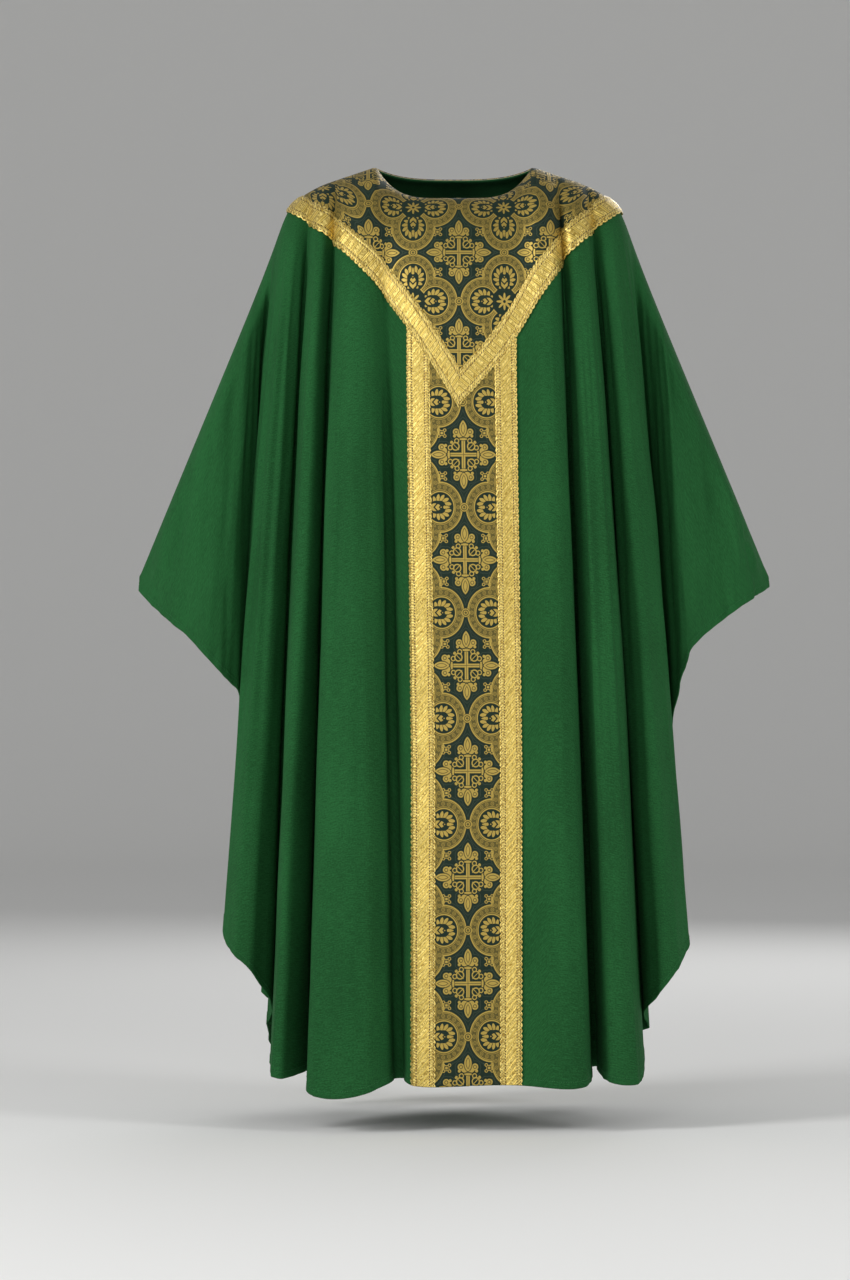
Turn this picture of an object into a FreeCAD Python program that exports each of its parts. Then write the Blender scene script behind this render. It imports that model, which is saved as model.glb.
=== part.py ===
import FreeCAD, Part
import math
import os

# A gothic chasuble, hanging as it does on a wearer whose arms are held a little out.
# Millimetres. +X is to the right when looking at the front, -Y is the front, +Z is up.
# The origin is in the middle of the neck opening, at the height of the neck's sides.

# ---------------------------------------------------------------- overall sizes
body_length = 1310.0        # side of the neck down to the hem, front and back
sleeve_reach = 454.0        # centre line out to the wrist point, arms held down
wrist_drop = 592.0          # neck side down to the wrist point
shoulder_half = 238.0       # centre line out to the point of the shoulder
shoulder_drop = 63.0        # neck side down to the point of the shoulder
shoulder_turn = 42.0        # drop in which the shoulder line turns down to the arm

# ---------------------------------------------------------------- neck opening
neck_half = 114.0           # half the width of the opening
neck_side_drop = 2.0
front_neck_dip = 50.0       # how far the front edge hangs below the neck's sides
back_neck_dip = 12.0
front_neck_reach = 70.0     # how far forward the front edge stands
back_neck_reach = 58.0

# ---------------------------------------------------------------- orphreys
orphrey_width = 154.0       # column, over both galloons
galloon_width = 31.0
orphrey_shift = 18.0        # the column hangs a little to the right of the centre
orphrey_lean = 7.5          # how much less it does so at the top than at the hem
yoke_tip_x = 6.0
yoke_tip_z = -326.0         # centre of the galloon at the point of the V
facing_width = 55.0
seam_tape_half = 8.0

# ---------------------------------------------------------------- plies
cloth_wall = 1.2            # body cloth
interlining_wall = 0.6
brocade_wall = 1.0
galloon_wall = 1.6
facing_wall = 0.8
tape_wall = 0.6
ply_gap = 0.1               # clearance between plies that lie on each other
butt_gap = 0.3              # clearance between trims that meet edge to edge

# ---------------------------------------------------------------- how it hangs
torso_round = 160.0         # drop over which the cloth turns over shoulder and chest
arm_round = 60.0            # the same over the arm
flare_power = 0.8           # below 1, the folds spread early and then fall straight
relief_power = 0.58

# Each row is one hanging line of the cloth, a ridge, an edge or the bed of a fold:
# x on the shoulder line, depth at the chest, x at the hem, hem height, depth at the hem.
# x and hem height are shares of the row's own reach, so that the overall sizes carry them.
# Lengths here are millimetres on the garment at its drawn size.
FRONT_LINES = [
    # left sleeve, from the wrist in
    (-454, 6, -455, -612, 8),
    (-418, 46, -421, -645, 52),
    (-372, 56, -380, -679, 84),
    (-310, 60, -332, -731, 92),
    (-284, 60, -309, -765, 62),
    # bed under the arm, then the side lobe
    (-262, 66, -304, -920, 18),
    (-246, 80, -330, -1074, 48),
    (-233, 89, -321, -1125, 92),
    (-219, 95, -286, -1160, 112),
    # deep bed, then the narrow lobe
    (-204, 100, -255, -1240, 62),
    (-194, 103, -263, -1288, 138),
    (-182, 107, -243, -1302, 186),
    # bed, then the broad lobe
    (-168, 111, -198, -1292, 100),
    (-158, 114, -207, -1314, 186),
    (-145, 117, -180, -1327, 226),
    (-124, 121, -118, -1318, 222),
    # shallow bed beside the column
    (-104, 124, -78, -1303, 164),
    (-66, 130, -58, -1310, 204),
    # column
    (15, 135, 20, -1310, 212),
    (93, 126, 98, -1310, 206),
    # right broad lobe
    (118, 122, 148, -1313, 226),
    (132, 119, 186, -1310, 204),
    (146, 117, 197, -1292, 104),
    # right middle lobe
    (158, 114, 214, -1304, 188),
    (170, 110, 240, -1310, 200),
    (180, 108, 268, -1302, 160),
    (190, 104, 264, -1240, 74),
    # right side lobe
    (204, 100, 285, -1192, 142),
    (220, 95, 320, -1146, 130),
    (236, 87, 332, -1090, 62),
    # bed under the right arm
    (256, 71, 306, -920, 18),
    (284, 60, 318, -770, 60),
    (306, 60, 338, -700, 88),
    (352, 57, 376, -661, 66),
    (390, 52, 410, -635, 74),
    (424, 39, 432, -620, 50),
    (454, 6, 455, -606, 8),
]

BACK_LINES = [
    (-454, 6, -455, -599, 8),
    (-420, 44, -424, -624, 50),
    (-366, 56, -378, -664, 88),
    (-322, 59, -342, -704, 70),
    (-286, 60, -312, -752, 78),
    (-260, 68, -303, -916, 18),
    (-242, 83, -325, -1080, 70),
    (-226, 92, -306, -1140, 118),
    (-208, 99, -270, -1204, 74),
    (-196, 102, -272, -1270, 146),
    (-178, 108, -244, -1300, 206),
    (-160, 113, -206, -1304, 188),
    (-146, 117, -186, -1286, 118),
    (-132, 119, -172, -1312, 190),
    (-112, 123, -128, -1318, 214),
    (-66, 130, -72, -1312, 200),
    (0, 135, 0, -1316, 206),
    (90, 127, 100, -1312, 200),
    (108, 123, 112, -1304, 168),
    (124, 121, 128, -1316, 210),
    (146, 117, 178, -1322, 222),
    (160, 113, 210, -1306, 176),
    (170, 110, 200, -1282, 112),
    (184, 106, 246, -1290, 178),
    (196, 102, 268, -1268, 128),
    (206, 99, 256, -1230, 66),
    (222, 94, 296, -1158, 118),
    (238, 86, 326, -1096, 80),
    (260, 68, 306, -918, 18),
    (284, 60, 314, -750, 66),
    (318, 59, 342, -682, 90),
    (364, 57, 380, -640, 70),
    (416, 46, 422, -604, 56),
    (454, 6, 455, -596, 8),
]
FRONT_CENTRE_ROW = 18       # the rows on which the two halves of a panel are seamed
BACK_CENTRE_ROW = 16

DRAWN_LENGTH = 1310.0       # the sizes at which the rows above are given
DRAWN_REACH = 454.0

# Centre of the V's galloon, from the mitre up to the shoulder: x outward from the tip's
# own side, z. The first point is the tip itself.
YOKE_LEFT = [(-52, -233), (-159, -108), (-201, -74), (-231, -54)]
YOKE_RIGHT = [(79, -238), (162, -113), (203, -76), (231, -54)]

samples_per_line = 5        # grid columns between two hanging lines
drop_rows = 28              # grid rows from the shoulder line to the hem


# ---------------------------------------------------------------- small helpers
def spline_through(knots, values, at):
    """Natural cubic spline through values at knots, read at the places in at."""
    n = len(knots)
    steps = [knots[i + 1] - knots[i] for i in range(n - 1)]
    lower = [0.0] * n
    second = [0.0] * n
    for i in range(1, n - 1):
        slope = (values[i + 1] - values[i]) / steps[i] - (values[i] - values[i - 1]) / steps[i - 1]
        pivot = 2.0 * (steps[i - 1] + steps[i]) - steps[i - 1] * lower[i - 1]
        lower[i] = steps[i] / pivot
        second[i] = (6.0 * slope - steps[i - 1] * second[i - 1]) / pivot
    for i in range(n - 2, 0, -1):
        second[i] -= lower[i] * second[i + 1]
    result = []
    i = 0
    for u in at:
        while i < n - 2 and u > knots[i + 1]:
            i += 1
        while i > 0 and u < knots[i]:
            i -= 1
        h = steps[i]
        a = (knots[i + 1] - u) / h
        b = (u - knots[i]) / h
        bend = ((a ** 3 - a) * second[i] + (b ** 3 - b) * second[i + 1]) * h * h / 6.0
        result.append(a * values[i] + b * values[i + 1] + bend)
    return result


def smoothstep(low, high, value):
    share = min(1.0, max(0.0, (value - low) / (high - low)))
    return share * share * (3.0 - 2.0 * share)


def mix(a, b, share):
    return a + (b - a) * share


# ---------------------------------------------------------------- the shoulder line
RIDGE_X = [neck_half, mix(neck_half, shoulder_half, 0.36), mix(neck_half, shoulder_half, 0.72),
           mix(neck_half, shoulder_half, 0.88), shoulder_half,
           mix(shoulder_half, sleeve_reach, 0.08), mix(shoulder_half, sleeve_reach, 0.4),
           sleeve_reach]
ARM_FALL = (wrist_drop - shoulder_drop - shoulder_turn) / (sleeve_reach - shoulder_half - 14.0)
RIDGE_Z = [-neck_side_drop, -0.27 * shoulder_drop, -0.55 * shoulder_drop,
           -0.75 * shoulder_drop, -shoulder_drop,
           -shoulder_drop - shoulder_turn,
           -wrist_drop + ARM_FALL * 0.6 * (sleeve_reach - shoulder_half),
           -wrist_drop]


def ridge_height(x):
    """Height of the shoulder and arm line at x."""
    return spline_through(RIDGE_X, RIDGE_Z, [abs(x)])[0]


def top_point(x, face):
    """Point where a hanging line starts: on the neck edge or on the shoulder line."""
    if abs(x) >= neck_half:
        return 0.0, ridge_height(x)
    share = abs(x) / neck_half
    dip = front_neck_dip if face == "front" else back_neck_dip
    reach = front_neck_reach if face == "front" else back_neck_reach
    return reach * (1.0 - share ** 2), -neck_side_drop - dip * (1.0 - share ** 4)


# ---------------------------------------------------------------- the hung surface
class HungFace:
    """The front or the back of the cloth as a surface of (line, drop), each from 0."""

    def __init__(self, face, rows, centre_row):
        self.sign = -1.0 if face == "front" else 1.0
        reach = sleeve_reach / DRAWN_REACH
        length = body_length / DRAWN_LENGTH
        tops = []
        for x_top, chest, x_hem, z_hem, hem_depth in rows:
            x = x_top * reach
            y, z = top_point(x, face)
            round_drop = mix(torso_round, arm_round, smoothstep(200.0, 285.0, abs(x)))
            z_low = self.hem_height(z_hem, z, ridge_height(sleeve_reach), length)
            tops.append((x, y, z, chest, x_hem * reach, z_low, hem_depth, round_drop))
        knots = [0.0]
        for a, b in zip(tops, tops[1:]):
            chord = math.hypot(b[4] - a[4], b[6] - a[6]) + 0.5 * abs(b[5] - a[5])
            knots.append(knots[-1] + math.sqrt(chord + 8.0))
        self.knots = knots
        self.centre = knots[centre_row]
        self.end = knots[-1]
        self.table_size = 40 * (len(rows) - 1)
        at = [self.end * i / self.table_size for i in range(self.table_size + 1)]
        columns = [spline_through(knots, [row[k] for row in tops], at) for k in range(8)]
        for i, x in enumerate(columns[0]):
            columns[1][i], columns[2][i] = top_point(x, face)
        self.table = list(zip(*columns))

    def hem_height(self, z_hem, z_top, wrist_z, length):
        """The hem follows the body's length; the sleeves' hem also follows the wrist."""
        sleeve = smoothstep(-900.0, -700.0, z_hem)
        return mix(z_hem * length, wrist_z + (z_hem + 592.0) * length, sleeve)

    def line(self, s):
        place = min(max(s / self.end, 0.0), 1.0) * self.table_size
        i = min(int(place), self.table_size - 1)
        share = place - i
        return [mix(a, b, share) for a, b in zip(self.table[i], self.table[i + 1])]

    def point(self, s, t):
        x_top, y_top, z_top, chest, x_hem, z_hem, hem_depth, round_drop = self.line(s)
        drop = (z_top - z_hem) * t
        over = math.sin(0.5 * math.pi * min(1.0, math.sqrt(max(drop, 0.0) / round_drop)))
        depth = y_top + (chest - y_top) * over + (hem_depth - chest) * t ** relief_power
        return FreeCAD.Vector(x_top + (x_hem - x_top) * t ** flare_power,
                              self.sign * depth, z_top - drop)

    def normal(self, s, t):
        """Unit normal, pointing out of the garment."""
        ds = 0.004 * self.end / 10.0
        dt = 0.002
        t = min(max(t, 0.003), 1.0 - dt)
        s = min(max(s, ds), self.end - ds)
        across = self.point(s + ds, t) - self.point(s - ds, t)
        down = self.point(s, t + dt) - self.point(s, t - dt)
        out = across.cross(down)
        out.normalize()
        return out * self.sign

    def place(self, s, t, height):
        return self.point(s, t) + self.normal(s, t) * height

    def find(self, x, z):
        """(s, t) of the point seen at x, z, where the face is not folded over."""
        low, high = self.knots_for(-260.0), self.knots_for(260.0)
        for _ in range(26):
            s = 0.5 * (low + high)
            line = self.line(s)
            t = min(1.0, max(0.0, (line[2] - z) / (line[2] - line[5])))
            if self.point(s, t).x < x:
                low = s
            else:
                high = s
        return s, t

    def knots_for(self, x_top):
        """The hanging line that starts at x_top."""
        for i, (a, b) in enumerate(zip(self.table, self.table[1:])):
            if a[0] <= x_top < b[0]:
                return self.end * (i + (x_top - a[0]) / (b[0] - a[0])) / self.table_size
        return 0.0 if x_top < 0.0 else self.end

    def beside_ridge(self, s, reach):
        """Point and normal at a distance from the shoulder line, down this face."""
        line = self.line(s)
        full = line[2] - line[5]
        swing = math.asin(min(0.9, reach / line[3]))
        t = line[7] * (2.0 / math.pi * swing) ** 2 / full
        normal = self.normal(s, t)
        if reach == 0.0:
            normal.y = 0.0
            normal.normalize()
        return self.point(s, t), normal


front = HungFace("front", FRONT_LINES, FRONT_CENTRE_ROW)
back = HungFace("back", BACK_LINES, BACK_CENTRE_ROW)
FACES = {"front": front, "back": back}


# ---------------------------------------------------------------- solids
def sharpen(points):
    """Poles of a cubic spline that runs through the points, bar its first and last."""
    inner = [(b * 8.0 - a - c) * (1.0 / 6.0)
             for a, b, c in zip(points, points[1:], points[2:])]
    return [points[0]] + inner + [points[-1]]


def poles_through(grid):
    """Poles of a cubic surface close to every point of a grid, and on its corners."""
    rows = [sharpen(row) for row in grid]
    return [list(row) for row in zip(*[sharpen(column) for column in zip(*rows)])]


def face_from(poles):
    """Face of a spline surface: cubic along its poles, straight where there are only two."""
    knots = []
    mults = []
    degrees = []
    for count in (len(poles), len(poles[0])):
        degree = 3 if count > 2 else 1
        inner = count - degree - 1
        degrees.append(degree)
        knots.append([float(i) for i in range(inner + 2)])
        mults.append([degree + 1] + [1] * inner + [degree + 1])
    surface = Part.BSplineSurface()
    surface.buildFromPolesMultsKnots(poles, mults[0], mults[1], knots[0], knots[1],
                                     False, False, degrees[0], degrees[1])
    return surface.toShape()


def cloth_solid(lower, upper):
    """A closed sheet of cloth between two grids of points with the same layout."""
    a = poles_through(lower)
    b = poles_through(upper)
    a_turned = [list(row) for row in zip(*a)]
    b_turned = [list(row) for row in zip(*b)]
    faces = [face_from(a), face_from(b)]
    for side_a, side_b in ((a[0], b[0]), (a[-1], b[-1]),
                           (a_turned[0], b_turned[0]), (a_turned[-1], b_turned[-1])):
        faces.append(face_from([side_a, side_b]))
    shell = Part.makeShell(faces)
    shell.sewShape()
    solid = Part.makeSolid(shell)
    if solid.Volume < 0.0:
        solid.reverse()
    return solid


def sheet_on(face, places, low, high):
    """Cloth on a face, over a grid of (s, t), between two heights above it."""
    lower = [[face.place(s, t, low) for s, t in row] for row in places]
    upper = [[face.place(s, t, high) for s, t in row] for row in places]
    return cloth_solid(lower, upper)


def spread(low, high, count):
    return [low + (high - low) * i / (count - 1) for i in range(count)]


def export(name, shape):
    if not shape.isValid():
        print("not valid:", name)
    shape.exportStep("parts/%s.step" % name)
    box = shape.BoundBox
    print("%-32s %8.1f cm3  x %6.0f %6.0f  y %5.0f %5.0f  z %6.0f %6.0f"
          % (name, shape.Volume / 1000.0, box.XMin, box.XMax, box.YMin, box.YMax,
             box.ZMin, box.ZMax))


# ---------------------------------------------------------------- heights of the plies
INTERLINING_LOW = cloth_wall + ply_gap
INTERLINING_HIGH = INTERLINING_LOW + interlining_wall
BROCADE_LOW = INTERLINING_HIGH + ply_gap
BROCADE_HIGH = BROCADE_LOW + brocade_wall
GALLOON_LOW = BROCADE_HIGH + ply_gap
GALLOON_HIGH = GALLOON_LOW + galloon_wall


# ---------------------------------------------------------------- body panels
def body_panel(face, side):
    """One half of the front or the back, from the centre seam out to the wrist."""
    begin, end = (0.0, face.centre) if side == "left" else (face.centre, face.end)
    lines = [k for k in face.knots if begin <= k <= end]
    columns = []
    for a, b in zip(lines, lines[1:]):
        columns += spread(a, b, samples_per_line + 1)[:-1]
    columns.append(lines[-1])
    drops = [(j / (drop_rows - 1.0)) ** 2 for j in range(drop_rows)]
    places = [[(s, t) for t in drops] for s in columns]
    return sheet_on(face, places, 0.0, cloth_wall)


# ---------------------------------------------------------------- the V of the yoke
def yoke_path(side):
    """Centre points of the V's galloon on one side, with their inward normals."""
    points = [(yoke_tip_x, yoke_tip_z)] + (YOKE_LEFT if side == "left" else YOKE_RIGHT)
    normals = []
    for i, (x, z) in enumerate(points):
        x0, z0 = points[max(i - 1, 0)]
        x1, z1 = points[min(i + 1, len(points) - 1)]
        run = math.hypot(x1 - x0, z1 - z0)
        turn = -1.0 if side == "left" else 1.0
        normals.append((-turn * (z1 - z0) / run, turn * (x1 - x0) / run))
    normals[0] = (0.0, 1.0 / abs(normals[0][1]))
    return points, normals


def yoke_line(side, offset, count):
    """count points along the V, offset inward from the galloon's centre."""
    points, normals = yoke_path(side)
    xs = [p[0] + n[0] * offset for p, n in zip(points, normals)]
    zs = [p[1] + n[1] * offset for p, n in zip(points, normals)]
    knots = [0.0]
    for i in range(1, len(xs)):
        knots.append(knots[-1] + math.hypot(xs[i] - xs[i - 1], zs[i] - zs[i - 1]))
    at = spread(0.0, knots[-1], count)
    return list(zip(spline_through(knots, xs, at), spline_through(knots, zs, at)))


def yoke_height(x, offset):
    """Height at x of the V's line that runs offset inward from the galloon's centre."""
    side = "left" if x < yoke_tip_x else "right"
    line = yoke_line(side, offset, 40)
    for (xa, za), (xb, zb) in zip(line, line[1:]):
        if (xa - x) * (xb - x) <= 0.0 and xa != xb:
            return mix(za, zb, (x - xa) / (xb - xa))
    return line[-1][1]


def yoke_galloon(face, side):
    """One arm of the V, from the mitre to the shoulder line."""
    half = 0.5 * galloon_width
    offsets = spread(-half, half, 5)
    places = []
    for offset in offsets:
        line = yoke_line(side, offset, 44)
        gap = butt_gap if side == "right" else -butt_gap
        line[0] = (line[0][0] + 0.5 * gap, line[0][1])
        line[-1] = (line[-1][0], 0.0)
        places.append([face.find(x, z) for x, z in line])
    return sheet_on(face, places, GALLOON_LOW, GALLOON_HIGH)


def yoke_panel(face, low, high, edge):
    """The cloth inside the V, from the neck and shoulder line down to the galloon."""
    reach = shoulder_half - 0.5 * galloon_width
    places = []
    for x in spread(-reach, reach, 41):
        s, top = face.find(x, 400.0)
        z_top = face.point(s, top).z
        z_low = min(yoke_height(x, edge), z_top - 4.0)
        drops = [share ** 2 for share in spread(0.0, 1.0, 11)]
        places.append([face.find(x, mix(z_top, z_low, drop)) for drop in drops])
    return sheet_on(face, places, low, high)


# ---------------------------------------------------------------- the column
def lean(z):
    """How far the column stands to the left of its place at the hem."""
    return -orphrey_lean * min(1.0, max(0.0, (z / body_length + 0.65) / 0.42))


def column_strip(face, x_low, x_high, yoke_offset, low, high, count):
    """A strip of the column, from the V down to the hem."""
    places = []
    for x in spread(x_low, x_high, count):
        z_top = yoke_height(x - orphrey_lean, yoke_offset)
        s_hem, t_hem = face.find(x, -10.0 * body_length)
        z_hem = face.point(s_hem, t_hem).z
        places.append([face.find(x + lean(z), z) for z in spread(z_top, z_hem, 26)])
    return sheet_on(face, places, low, high)


def column_galloon(face, side):
    outer = 0.5 * orphrey_width
    inner = outer - galloon_width
    edge = -0.5 * galloon_width - butt_gap
    centre = orphrey_shift
    if side == "left":
        return column_strip(face, centre - outer, centre - inner, edge,
                            GALLOON_LOW, GALLOON_HIGH, 5)
    return column_strip(face, centre + inner, centre + outer, edge,
                        GALLOON_LOW, GALLOON_HIGH, 5)


def column_panel(face, low, high):
    half = 0.5 * orphrey_width - 2.0
    return column_strip(face, orphrey_shift - half, orphrey_shift + half, -butt_gap,
                        low, high, 9)


# ---------------------------------------------------------------- inside the neck
def neck_facing(face):
    """A strip inside the neck edge."""
    reach = neck_half - 6.0
    places = []
    for x in spread(-reach, reach, 21):
        s, top = face.find(x, 400.0)
        z_top = face.point(s, top).z
        drops = [facing_width * share ** 2 for share in spread(0.0, 1.0, 8)]
        places.append([face.find(x, z_top - drop) for drop in drops])
    return sheet_on(face, places, -ply_gap - facing_wall, -ply_gap)


def shoulder_tape(side):
    """Tape under the shoulder seam, from beside the neck out to the wrist."""
    turn = -1.0 if side == "left" else 1.0
    lower = []
    upper = []
    for x in spread(neck_half + 12.0, sleeve_reach - 30.0, 30):
        low_row = []
        high_row = []
        for face, share in ((back, 1.0), (back, 0.5), (front, 0.0), (front, 0.5), (front, 1.0)):
            s = face.knots_for(turn * x)
            point, normal = face.beside_ridge(s, share * seam_tape_half)
            low_row.append(point - normal * (ply_gap + tape_wall))
            high_row.append(point - normal * ply_gap)
        lower.append(low_row)
        upper.append(high_row)
    return cloth_solid(lower, upper)


# ---------------------------------------------------------------- build
os.makedirs("parts", exist_ok=True)
for face_name, face in FACES.items():
    for side in ("left", "right"):
        export("%s_%s_body_panel" % (face_name, side), body_panel(face, side))
        export("%s_%s_yoke_galloon" % (face_name, side), yoke_galloon(face, side))
        export("%s_%s_column_galloon" % (face_name, side), column_galloon(face, side))
    export("%s_yoke_interlining" % face_name,
           yoke_panel(face, INTERLINING_LOW, INTERLINING_HIGH, 2.0 + butt_gap))
    export("%s_yoke_brocade" % face_name,
           yoke_panel(face, BROCADE_LOW, BROCADE_HIGH, butt_gap))
    export("%s_column_interlining" % face_name,
           column_panel(face, INTERLINING_LOW, INTERLINING_HIGH))
    export("%s_column_brocade" % face_name, column_panel(face, BROCADE_LOW, BROCADE_HIGH))
    export("%s_neck_facing" % face_name, neck_facing(face))
for side in ("left", "right"):
    export("%s_shoulder_seam_tape" % side, shoulder_tape(side))
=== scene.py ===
# %% [markdown]
# # A gothic chasuble in cloth
# The chasuble is a wide green cloak that hangs from the shoulders in long folds. On it lie
# a V yoke and a centre column of gold brocade, edged with a woven gold braid, the galloon.
# The imported model gives the frame: every piece here replaces its plain solid, in the same
# place. The box of that model is kept, and it is printed again at the end.

# %% Load the frame
import math
import bpy
import numpy as np
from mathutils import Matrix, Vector


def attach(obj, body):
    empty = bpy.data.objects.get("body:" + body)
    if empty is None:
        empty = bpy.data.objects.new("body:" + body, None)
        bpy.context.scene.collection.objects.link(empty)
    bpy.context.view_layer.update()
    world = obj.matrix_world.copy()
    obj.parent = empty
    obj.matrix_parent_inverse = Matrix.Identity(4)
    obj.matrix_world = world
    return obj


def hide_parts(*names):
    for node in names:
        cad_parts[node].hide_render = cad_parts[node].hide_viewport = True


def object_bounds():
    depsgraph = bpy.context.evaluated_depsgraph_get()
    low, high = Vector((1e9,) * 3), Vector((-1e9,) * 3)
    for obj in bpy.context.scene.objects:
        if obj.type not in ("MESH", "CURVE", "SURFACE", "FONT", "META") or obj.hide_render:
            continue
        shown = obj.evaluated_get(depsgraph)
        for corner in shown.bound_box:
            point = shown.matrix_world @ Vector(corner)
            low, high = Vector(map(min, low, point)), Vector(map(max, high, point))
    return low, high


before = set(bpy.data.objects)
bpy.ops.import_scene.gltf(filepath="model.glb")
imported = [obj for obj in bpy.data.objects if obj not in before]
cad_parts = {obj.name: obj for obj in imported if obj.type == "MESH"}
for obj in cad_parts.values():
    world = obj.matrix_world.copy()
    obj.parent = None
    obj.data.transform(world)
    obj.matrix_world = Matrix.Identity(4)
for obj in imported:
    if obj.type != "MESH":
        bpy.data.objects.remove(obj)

cad_box = [list(corner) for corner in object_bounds()]
print("CAD box", cad_box)

# %% [markdown]
# ## Sizes
# A garment is cut from a few measures: its length, the reach of the sleeve, the shoulder and
# the neck. They stand here once, in metres, and all pieces are worked out from them.

# %% Sizes of the garment
BODY_LENGTH = 1.310
SLEEVE_REACH = 0.454
WRIST_DROP = 0.592
SHOULDER_HALF = 0.238
SHOULDER_DROP = 0.063
SHOULDER_TURN = 0.042
NECK_HALF = 0.114
NECK_SIDE_DROP = 0.002
NECK_DIP = {"front": 0.050, "back": 0.012}
NECK_REACH = {"front": 0.070, "back": 0.058}
COLUMN_WIDTH = 0.154
COLUMN_X = 0.018
COLUMN_LEAN = 0.0075
GALLOON_WIDTH = 0.031
FACING_WIDTH = 0.055
BUTT_GAP = 0.0003
# Heights clear above the shoulder line and below the hem, to look for the ends of a line.
ABOVE_ALL = 0.4
BELOW_ALL = -9.0
TIP = (0.006, -0.326)
V_POINTS = {"left": [(-0.052, -0.233), (-0.159, -0.108), (-0.201, -0.074), (-0.231, -0.054)],
            "right": [(0.079, -0.238), (0.162, -0.113), (0.203, -0.076), (0.231, -0.054)]}
PLIES = {"cloth": (0.0, 0.0012), "interlining": (0.0013, 0.0019),
         "brocade": (0.0020, 0.0030), "galloon": (0.0031, 0.0047),
         "facing": (-0.0009, -0.0001), "tape": (-0.0007, -0.0001)}

# %% [markdown]
# ## How the cloth hangs
# A cloak that hangs free falls in lines that run nearly straight from the shoulder to the
# hem. Between them it swings out over ridges and back into beds. These folds stand in set
# places, and they are drawn, not simulated. Each ridge, edge and bed is one hanging line,
# given with five numbers: where it starts on the shoulder line, how far it stands
# out at the chest, and where it ends at the hem. A spline across the lines makes the sheet.

# %% The hanging lines, in millimetres
# x on the shoulder line, depth at the chest, x at the hem, hem height, depth at the hem
LINES = {"front": [
    (-454, 6, -455, -612, 8), (-418, 46, -421, -645, 52), (-372, 56, -380, -679, 84),
    (-310, 60, -332, -731, 92), (-284, 60, -309, -765, 62), (-262, 66, -304, -920, 18),
    (-246, 80, -330, -1074, 48), (-233, 89, -321, -1125, 92), (-219, 95, -286, -1160, 112),
    (-204, 100, -255, -1240, 62), (-194, 103, -263, -1288, 138), (-182, 107, -243, -1302, 186),
    (-168, 111, -198, -1292, 100), (-158, 114, -207, -1314, 186), (-145, 117, -180, -1327, 226),
    (-124, 121, -118, -1318, 222), (-104, 124, -78, -1303, 164), (-66, 130, -58, -1310, 204),
    (15, 135, 20, -1310, 212), (93, 126, 98, -1310, 206), (118, 122, 148, -1313, 226),
    (132, 119, 186, -1310, 204), (146, 117, 197, -1292, 104), (158, 114, 214, -1304, 188),
    (170, 110, 240, -1310, 200), (180, 108, 268, -1302, 160), (190, 104, 264, -1240, 74),
    (204, 100, 285, -1192, 142), (220, 95, 320, -1146, 130), (236, 87, 332, -1090, 62),
    (256, 71, 306, -920, 18), (284, 60, 318, -770, 60), (306, 60, 338, -700, 88),
    (352, 57, 376, -661, 66), (390, 52, 410, -635, 74), (424, 39, 432, -620, 50),
    (454, 6, 455, -606, 8)],
    "back": [
    (-454, 6, -455, -599, 8), (-420, 44, -424, -624, 50), (-366, 56, -378, -664, 88),
    (-322, 59, -342, -704, 70), (-286, 60, -312, -752, 78), (-260, 68, -303, -916, 18),
    (-242, 83, -325, -1080, 70), (-226, 92, -306, -1140, 118), (-208, 99, -270, -1204, 74),
    (-196, 102, -272, -1270, 146), (-178, 108, -244, -1300, 206), (-160, 113, -206, -1304, 188),
    (-146, 117, -186, -1286, 118), (-132, 119, -172, -1312, 190), (-112, 123, -128, -1318, 214),
    (-66, 130, -72, -1312, 200), (0, 135, 0, -1316, 206), (90, 127, 100, -1312, 200),
    (108, 123, 112, -1304, 168), (124, 121, 128, -1316, 210), (146, 117, 178, -1322, 222),
    (160, 113, 210, -1306, 176), (170, 110, 200, -1282, 112), (184, 106, 246, -1290, 178),
    (196, 102, 268, -1268, 128), (206, 99, 256, -1230, 66), (222, 94, 296, -1158, 118),
    (238, 86, 326, -1096, 80), (260, 68, 306, -918, 18), (284, 60, 314, -750, 66),
    (318, 59, 342, -682, 90), (364, 57, 380, -640, 70), (416, 46, 422, -604, 56),
    (454, 6, 455, -596, 8)]}
CENTRE_LINE = {"front": 18, "back": 16}
# where the beds of the folds start on the shoulder line, and how deep they are creased
BEDS = {"front": [(-310, 5), (-262, 13), (-204, 18), (-168, 17), (-104, 7), (146, 15),
                  (190, 18), (256, 13), (306, 6)],
        "back": [(-322, 6), (-260, 13), (-208, 17), (-146, 15), (104, 7), (170, 16),
                 (206, 16), (260, 13), (318, 6)]}
TORSO_ROUND = 0.160
ARM_ROUND = 0.060
FLARE_POWER = 0.8
RELIEF_POWER = 0.58


# %% Helpers for curves
def mix(a, b, share):
    return a + (b - a) * share


def smoothstep(low, high, value):
    share = np.clip((np.asarray(value, float) - low) / (high - low), 0.0, 1.0)
    return share * share * (3.0 - 2.0 * share)


def spline_through(knots, values, at):
    """Natural cubic spline through rows of values, read at the places in at."""
    knots = np.asarray(knots, float)
    values = np.asarray(values, float).reshape(len(knots), -1)
    steps = np.diff(knots)
    slopes = np.diff(values, axis=0) / steps[:, None]
    system = np.eye(len(knots))
    right = np.zeros_like(values)
    for i in range(1, len(knots) - 1):
        system[i, i - 1:i + 2] = steps[i - 1], 2.0 * (steps[i - 1] + steps[i]), steps[i]
        right[i] = 6.0 * (slopes[i] - slopes[i - 1])
    second = np.linalg.solve(system, right)
    at = np.asarray(at, float)
    i = np.clip(np.searchsorted(knots, at) - 1, 0, len(steps) - 1)
    h = steps[i][..., None]
    a = (knots[i + 1] - at)[..., None] / h
    b = 1.0 - a
    bend = ((a ** 3 - a) * second[i] + (b ** 3 - b) * second[i + 1]) * h * h / 6.0
    return a * values[i] + b * values[i + 1] + bend


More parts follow.
